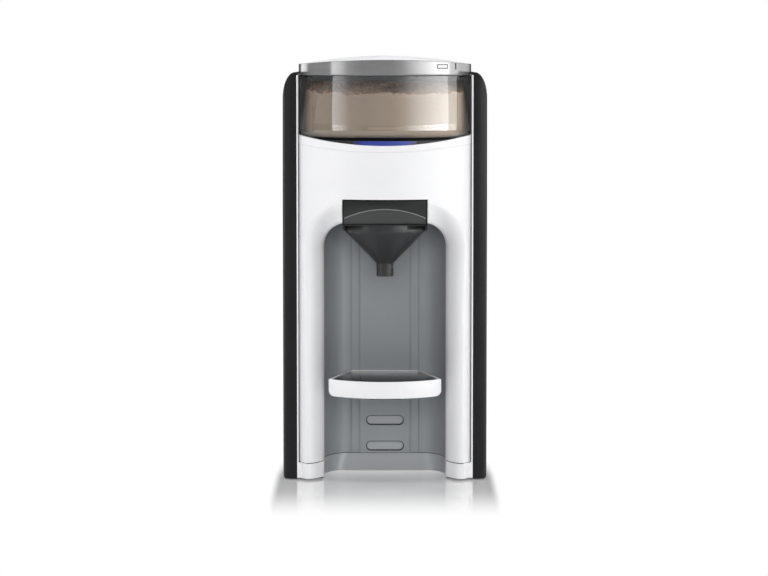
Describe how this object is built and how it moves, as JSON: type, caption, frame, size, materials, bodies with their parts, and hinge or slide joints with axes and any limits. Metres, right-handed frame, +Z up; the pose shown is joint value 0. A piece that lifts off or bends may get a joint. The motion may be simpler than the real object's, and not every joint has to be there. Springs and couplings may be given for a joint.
{
  "type": "baby formula maker",
  "caption": "Countertop baby formula maker with a clear powder container on top, mixing funnel over an open bottle bay with a tray, and a lift-out water tank behind.",
  "frame": {"origin": "middle of the footprint, on the table under the feet", "axes": "+Z up, the bottle bay faces -Y, +X to the right as seen from the front"},
  "size_m": [0.2028, 0.32, 0.4118],
  "materials": {
    "white_plastic": "glossy white moulding",
    "grey_plastic": "satin grey moulding",
    "dark_plastic": "dark grey smooth moulding",
    "black_panel": "satin black cover",
    "black_gloss": "piano black",
    "display": "dark display glass on a board",
    "button_grey": "satin light grey",
    "smoke_funnel": "dark translucent plastic",
    "clear_tub": "clear slightly smoked plastic",
    "silver_trim": "brushed silver band",
    "blue_plastic": "blue moulding",
    "pale_plastic": "natural nylon",
    "blue_light": "lit blue light guide",
    "silicone": "white silicone",
    "rubber": "black rubber",
    "steel": "bright steel",
    "brass": "turned brass",
    "alloy": "cast heater block",
    "board": "green circuit board",
    "pump_body": "black pump body"
  },
  "bodies": {
    "housing": {"base_tray": "white_plastic", "bay_sill": "grey_plastic", "front_shell": "white_plastic", "bay_liner": "grey_plastic", "funnel_bay": "dark_plastic", "funnel_rails": "dark_plastic", "collar_ring": "white_plastic", "light_bar": "blue_light", "container_seat": "dark_plastic", "mid_housing": "white_plastic", "rear_housing": "white_plastic", "side_panel_left": "black_panel", "side_panel_right": "black_panel", "control_fascia": "black_gloss", "display_module": "display", "chassis_plate": "steel", "gear_motor": "steel", "idler_pin": "steel", "spindle_bush": "brass", "powder_chute": "dark_plastic", "nozzle_ring": "dark_plastic", "nozzle_hose": "silicone", "heater": "alloy", "heater_hose": "silicone", "pump": "pump_body", "inlet_hose": "silicone", "tank_socket": "dark_plastic", "main_board": "board", "power_board": "board", "cord_gland": "rubber", "rubber_feet": "rubber", "base_screws": "steel"},
    "spindle": {"drive_spindle": "steel", "spindle_gear": "pale_plastic"},
    "idler": {"idler_gear": "pale_plastic"},
    "pinion": {"motor_pinion": "brass"},
    "bush": {"wheel_bush": "brass"},
    "container": {"container_base": "dark_plastic", "powder_container": "clear_tub", "powder_gate": "pale_plastic"},
    "wheel": {"dosing_wheel": "blue_plastic", "stirrer": "pale_plastic"},
    "lid_seal": {"lid_gasket": "silicone"},
    "lid": {"lid_cap": "white_plastic", "lid_trim": "silver_trim"},
    "funnel": {"mixing_funnel": "smoke_funnel", "funnel_hood": "smoke_funnel"},
    "tray": {"tray_body": "white_plastic", "tray_plate": "black_gloss"},
    "tank": {"water_tank": "clear_tub", "tank_o_ring": "rubber", "valve_spring": "steel"},
    "valve": {"tank_valve": "pale_plastic"},
    "tank_lid": {"tank_lid": "smoke_funnel"},
    "button_1_body": {"button_1": "button_grey"},
    "button_2_body": {"button_2": "button_grey"},
    "button_3_body": {"button_3": "button_grey"},
    "button_4_body": {"button_4": "button_grey"},
    "button_5_body": {"button_5": "button_grey"},
    "button_6_body": {"button_6": "button_grey"}
  },
  "joints": [
    {"name": "spindle_spin", "type": "hinge", "parent": "housing", "child": "spindle", "pos_m": [0, -0.0755, 0.297], "axis": [0, 0, 1], "continuous": true},
    {"name": "idler_spin", "type": "hinge", "parent": "housing", "child": "idler", "pos_m": [0, -0.0394, 0.297], "axis": [0, 0, 1], "continuous": true},
    {"name": "pinion_spin", "type": "hinge", "parent": "housing", "child": "pinion", "pos_m": [0, -0.0173, 0.297], "axis": [0, 0, 1], "continuous": true},
    {"name": "container_lift", "type": "slide", "parent": "housing", "child": "bush", "axis": [0, 0, 1], "range_m": [0, 0.11]},
    {"name": "container_turn", "type": "hinge", "parent": "bush", "child": "container", "pos_m": [0, -0.0755, 0.331], "axis": [0, 0, 1], "range_deg": [0, 25]},
    {"name": "wheel_spin", "type": "hinge", "parent": "bush", "child": "wheel", "pos_m": [0, -0.0755, 0.331], "axis": [0, 0, 1], "continuous": true},
    {"name": "lid_lift", "type": "slide", "parent": "container", "child": "lid_seal", "axis": [0, 0, 1], "range_m": [0, 0.06]},
    {"name": "lid_twist", "type": "hinge", "parent": "lid_seal", "child": "lid", "pos_m": [0, -0.0755, 0.393], "axis": [0, 0, 1], "range_deg": [0, 25]},
    {"name": "funnel_slide", "type": "slide", "parent": "housing", "child": "funnel", "axis": [0, -1, 0], "range_m": [0, 0.1]},
    {"name": "tray_pull", "type": "slide", "parent": "housing", "child": "tray", "axis": [0, -1, 0], "range_m": [0, 0.11]},
    {"name": "tank_lift", "type": "slide", "parent": "housing", "child": "tank", "axis": [0, 0, 1], "range_m": [0, 0.15]},
    {"name": "tank_lid_hinge", "type": "hinge", "parent": "tank", "child": "tank_lid", "pos_m": [0, 0.155, 0.389], "axis": [-1, 0, 0], "range_deg": [0, 100]},
    {"name": "valve_lift", "type": "slide", "parent": "tank", "child": "valve", "axis": [0, 0, 1], "range_m": [0, 0.002], "stiffness_N_per_m": 150, "deforming": ["valve_spring"]},
    {"name": "button_1_press", "type": "slide", "parent": "housing", "child": "button_1_body", "axis": [-1, 0, 0], "range_m": [0, 0.001], "stiffness_N_per_m": 400},
    {"name": "button_2_press", "type": "slide", "parent": "housing", "child": "button_2_body", "axis": [-1, 0, 0], "range_m": [0, 0.001], "stiffness_N_per_m": 400},
    {"name": "button_3_press", "type": "slide", "parent": "housing", "child": "button_3_body", "axis": [-1, 0, 0], "range_m": [0, 0.001], "stiffness_N_per_m": 400},
    {"name": "button_4_press", "type": "slide", "parent": "housing", "child": "button_4_body", "axis": [-1, 0, 0], "range_m": [0, 0.001], "stiffness_N_per_m": 400},
    {"name": "button_5_press", "type": "slide", "parent": "housing", "child": "button_5_body", "axis": [-1, 0, 0], "range_m": [0, 0.001], "stiffness_N_per_m": 400},
    {"name": "button_6_press", "type": "slide", "parent": "housing", "child": "button_6_body", "axis": [-1, 0, 0], "range_m": [0, 0.001], "stiffness_N_per_m": 400}
  ],
  "couplings": [
    {"joint": "idler_spin", "follows": "spindle_spin", "ratio": -1.25},
    {"joint": "pinion_spin", "follows": "spindle_spin", "ratio": 3.3333},
    {"joint": "wheel_spin", "follows": "spindle_spin", "ratio": 1}
  ]
}
